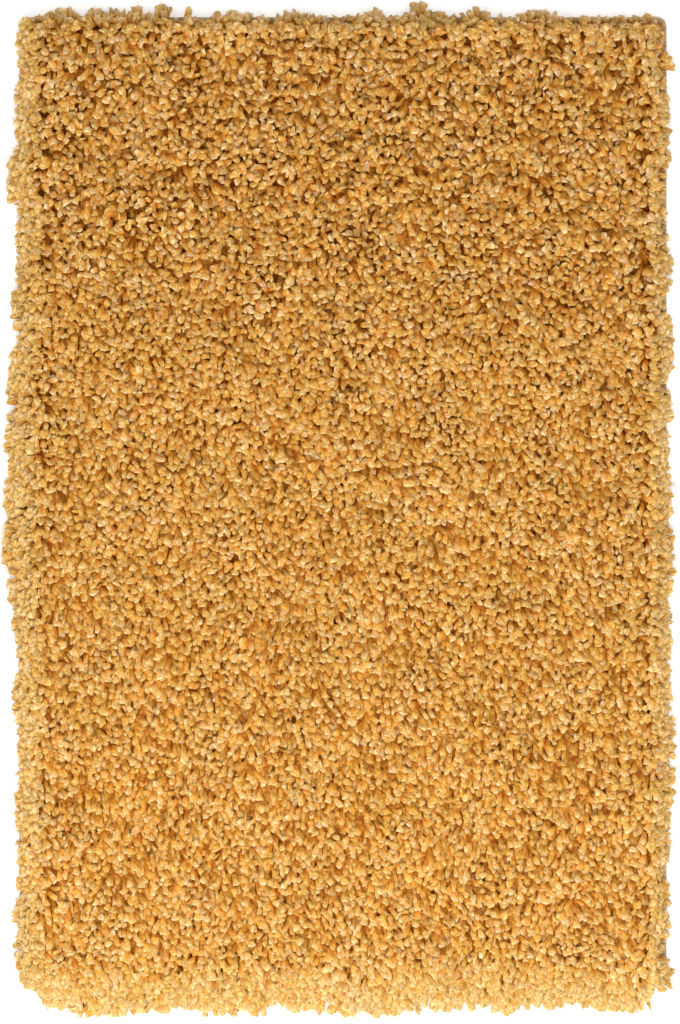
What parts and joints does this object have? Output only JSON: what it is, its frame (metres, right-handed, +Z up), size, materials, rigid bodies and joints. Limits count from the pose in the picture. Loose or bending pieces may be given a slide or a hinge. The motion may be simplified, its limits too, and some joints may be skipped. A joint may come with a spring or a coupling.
{
  "type": "shag rug",
  "caption": "Rectangular shag rug with a long, loose cut-yarn pile on a woven ground cloth, and an overlocked yarn binding round its edge.",
  "frame": {"origin": "on the floor, under the middle of the rug with its overhanging pile", "axes": "+Y along the rug's length towards the head end, from which the pile leans away; +X to the right as the rug is seen from above with its head end up; +Z up out of the pile"},
  "size_m": [0.626, 0.943, 0.0281],
  "materials": {
    "pile_yarn": "matte cut shag yarn",
    "ground_cloth": "coarse woven back",
    "binding_yarn": "overlocked yarn"
  },
  "bodies": {
    "root": {"pile_cloth": "pile_yarn", "binding_top": "binding_yarn", "binding_right": "binding_yarn", "binding_bottom": "binding_yarn", "binding_left": "binding_yarn"}
  },
  "joints": []
}
